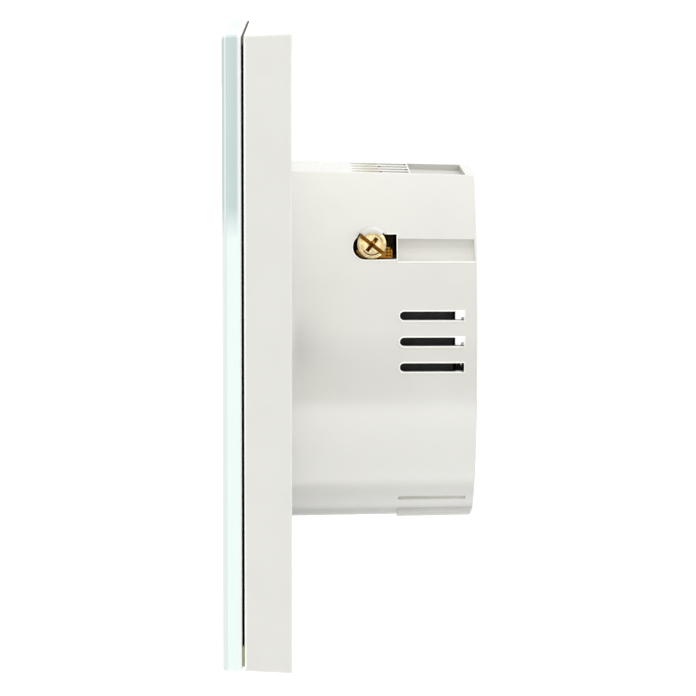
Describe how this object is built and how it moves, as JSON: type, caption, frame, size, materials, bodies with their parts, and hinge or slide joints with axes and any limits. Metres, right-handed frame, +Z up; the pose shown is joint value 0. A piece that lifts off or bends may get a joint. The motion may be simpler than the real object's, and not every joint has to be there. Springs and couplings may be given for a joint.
{
  "type": "wall thermostat",
  "caption": "Square glass touch-panel wall thermostat with a drafted ivory cover and a round rear housing with brass screw terminals and air slots.",
  "frame": {"origin": "middle of the panel in the wall plane, where the cover's back edge and the mounting flange rest", "axes": "+Z up the wall, -Y out of the wall towards the user, +Y into the flush box, +X to the right as the user sees it"},
  "size_m": [0.086, 0.035, 0.086],
  "materials": {
    "back_printed_glass": "clear tempered float glass, ground arris, printed white on the back",
    "foam_black": "closed-cell foam",
    "ivory_plastic": "semi-gloss moulded",
    "lcd_glass": "dark polarised glass",
    "light_guide": "clear acrylic with white reflector",
    "board_green": "solder-resist laminate",
    "chip_black": "moulded epoxy",
    "sensor_bead": "dipped epoxy",
    "header_black": "glass-filled nylon with plated pins",
    "zinc_plated_steel": "zinc plated",
    "relay_black": "moulded case",
    "ferrite_and_tape": "ferrite core with tape",
    "capacitor_sleeve": "shrink sleeve on an aluminium can",
    "varistor_blue": "dipped epoxy",
    "fuse_brown": "moulded case",
    "spring_steel": "plated wire",
    "terminal_brass": "tumbled, slightly dull"
  },
  "bodies": {
    "base": {"base_housing": "ivory_plastic", "inner_cover": "ivory_plastic", "cover_screw_1": "zinc_plated_steel", "cover_screw_2": "zinc_plated_steel", "power_board": "board_green", "header_socket": "header_black", "relay": "relay_black", "transformer": "ferrite_and_tape", "filter_capacitor": "capacitor_sleeve", "supply_capacitor": "capacitor_sleeve", "varistor": "varistor_blue", "fuse": "fuse_brown", "terminal_block_1": "terminal_brass", "terminal_block_2": "terminal_brass", "terminal_block_3": "terminal_brass", "terminal_block_4": "terminal_brass", "terminal_block_5": "terminal_brass", "terminal_block_6": "terminal_brass"},
    "front_panel": {"glass_panel": "back_printed_glass", "panel_gasket": "foam_black", "front_cover": "ivory_plastic", "lcd_module": "lcd_glass", "lcd_backlight": "light_guide", "control_board": "board_green", "microcontroller": "chip_black", "buzzer": "chip_black", "room_sensor": "sensor_bead", "pin_header": "header_black", "touch_spring_1": "spring_steel", "touch_spring_2": "spring_steel", "touch_spring_3": "spring_steel", "touch_spring_4": "spring_steel", "touch_spring_5": "spring_steel"},
    "clamp_1": {"clamp_plate_1": "terminal_brass"},
    "screw_1": {"terminal_screw_1": "terminal_brass"},
    "clamp_2": {"clamp_plate_2": "terminal_brass"},
    "screw_2": {"terminal_screw_2": "terminal_brass"},
    "clamp_3": {"clamp_plate_3": "terminal_brass"},
    "screw_3": {"terminal_screw_3": "terminal_brass"},
    "clamp_4": {"clamp_plate_4": "terminal_brass"},
    "screw_4": {"terminal_screw_4": "terminal_brass"},
    "clamp_5": {"clamp_plate_5": "terminal_brass"},
    "screw_5": {"terminal_screw_5": "terminal_brass"},
    "clamp_6": {"clamp_plate_6": "terminal_brass"},
    "screw_6": {"terminal_screw_6": "terminal_brass"}
  },
  "joints": [
    {"name": "panel_pull", "type": "slide", "parent": "base", "child": "front_panel", "axis": [0, -1, 0], "range_m": [0, 0.025]},
    {"name": "clamp_1_travel", "type": "slide", "parent": "base", "child": "clamp_1", "axis": [0, 0, -1], "range_m": [0, 0.00158]},
    {"name": "screw_1_turn", "type": "hinge", "parent": "clamp_1", "child": "screw_1", "pos_m": [-0.0093, 0.011, 0.0223], "axis": [0, 0, -1], "range_deg": [0, 1260]},
    {"name": "clamp_2_travel", "type": "slide", "parent": "base", "child": "clamp_2", "axis": [0, 0, -1], "range_m": [0, 0.00158]},
    {"name": "screw_2_turn", "type": "hinge", "parent": "clamp_2", "child": "screw_2", "pos_m": [-0.0031, 0.011, 0.0223], "axis": [0, 0, -1], "range_deg": [0, 1260]},
    {"name": "clamp_3_travel", "type": "slide", "parent": "base", "child": "clamp_3", "axis": [0, 0, -1], "range_m": [0, 0.00158]},
    {"name": "screw_3_turn", "type": "hinge", "parent": "clamp_3", "child": "screw_3", "pos_m": [0.0031, 0.011, 0.0223], "axis": [0, 0, -1], "range_deg": [0, 1260]},
    {"name": "clamp_4_travel", "type": "slide", "parent": "base", "child": "clamp_4", "axis": [0, 0, -1], "range_m": [0, 0.00158]},
    {"name": "screw_4_turn", "type": "hinge", "parent": "clamp_4", "child": "screw_4", "pos_m": [0.0093, 0.011, 0.0223], "axis": [0, 0, -1], "range_deg": [0, 1260]},
    {"name": "clamp_5_travel", "type": "slide", "parent": "base", "child": "clamp_5", "axis": [-1, 0, 0], "range_m": [0, 0.00158]},
    {"name": "screw_5_turn", "type": "hinge", "parent": "clamp_5", "child": "screw_5", "pos_m": [0.0241, 0.011, 0.0135], "axis": [-1, 0, 0], "range_deg": [0, 1260]},
    {"name": "clamp_6_travel", "type": "slide", "parent": "base", "child": "clamp_6", "axis": [1, 0, 0], "range_m": [0, 0.00158]},
    {"name": "screw_6_turn", "type": "hinge", "parent": "clamp_6", "child": "screw_6", "pos_m": [-0.0241, 0.011, 0.0135], "axis": [1, 0, 0], "range_deg": [0, 1260]}
  ],
  "couplings": [
    {"joint": "screw_1_turn", "follows": "clamp_1_travel", "rad_per_m": 13963},
    {"joint": "screw_2_turn", "follows": "clamp_2_travel", "rad_per_m": 13963},
    {"joint": "screw_3_turn", "follows": "clamp_3_travel", "rad_per_m": 13963},
    {"joint": "screw_4_turn", "follows": "clamp_4_travel", "rad_per_m": 13963},
    {"joint": "screw_5_turn", "follows": "clamp_5_travel", "rad_per_m": 13963},
    {"joint": "screw_6_turn", "follows": "clamp_6_travel", "rad_per_m": 13963}
  ]
}
